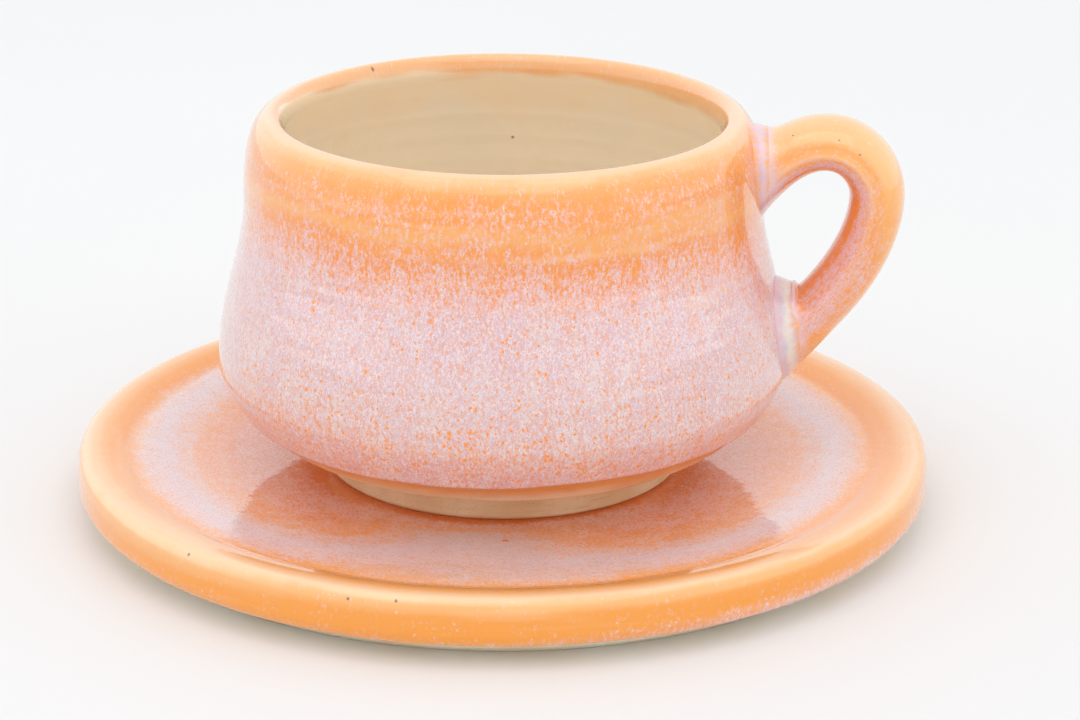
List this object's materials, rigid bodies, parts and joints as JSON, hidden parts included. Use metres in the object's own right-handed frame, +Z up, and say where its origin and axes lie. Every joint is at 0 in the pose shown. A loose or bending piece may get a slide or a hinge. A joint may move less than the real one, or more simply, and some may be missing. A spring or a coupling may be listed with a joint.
{
  "type": "espresso cup with saucer",
  "caption": "Thrown stoneware espresso cup with a pulled loop handle, round belly and turned foot ring, standing in the flat well of a thick-rimmed round saucer.",
  "frame": {"origin": "centre of the saucer's foot ring, on the surface that the saucer stands on", "axes": "+Z up along the throwing axis of both pots, +X towards the handle"},
  "size_m": [0.115, 0.115, 0.055],
  "materials": {
    "saucer_clay": "bare fired stoneware, fine grog, matte",
    "saucer_glaze": "glossy reactive glaze, orange breaking to lavender and cream",
    "cup_clay": "bare fired stoneware with toasted edge, matte",
    "cup_glaze": "glossy reactive glaze, orange at the neck fading to pale pink with fine flecks",
    "liner_glaze": "glossy cream liner glaze",
    "handle_clay": "fired stoneware under glaze",
    "handle_glaze": "glossy reactive glaze, orange with lavender flecks",
    "slip": "fired joining slip",
    "pooled_glaze": "thick pale lavender glaze, glossy"
  },
  "bodies": {
    "saucer": {"saucer_body": "saucer_clay", "saucer_glaze": "saucer_glaze"},
    "cup": {"cup_body": "cup_clay", "cup_outer_glaze": "cup_glaze", "cup_liner_glaze": "liner_glaze", "handle": "handle_clay", "handle_glaze": "handle_glaze", "upper_slip_joint": "slip", "lower_slip_joint": "slip", "upper_glaze_pool": "pooled_glaze", "lower_glaze_pool": "pooled_glaze"}
  },
  "joints": [
    {"name": "cup_lift", "type": "slide", "parent": "saucer", "child": "cup", "axis": [0, 0, 1], "range_m": [0, 0.12]}
  ]
}
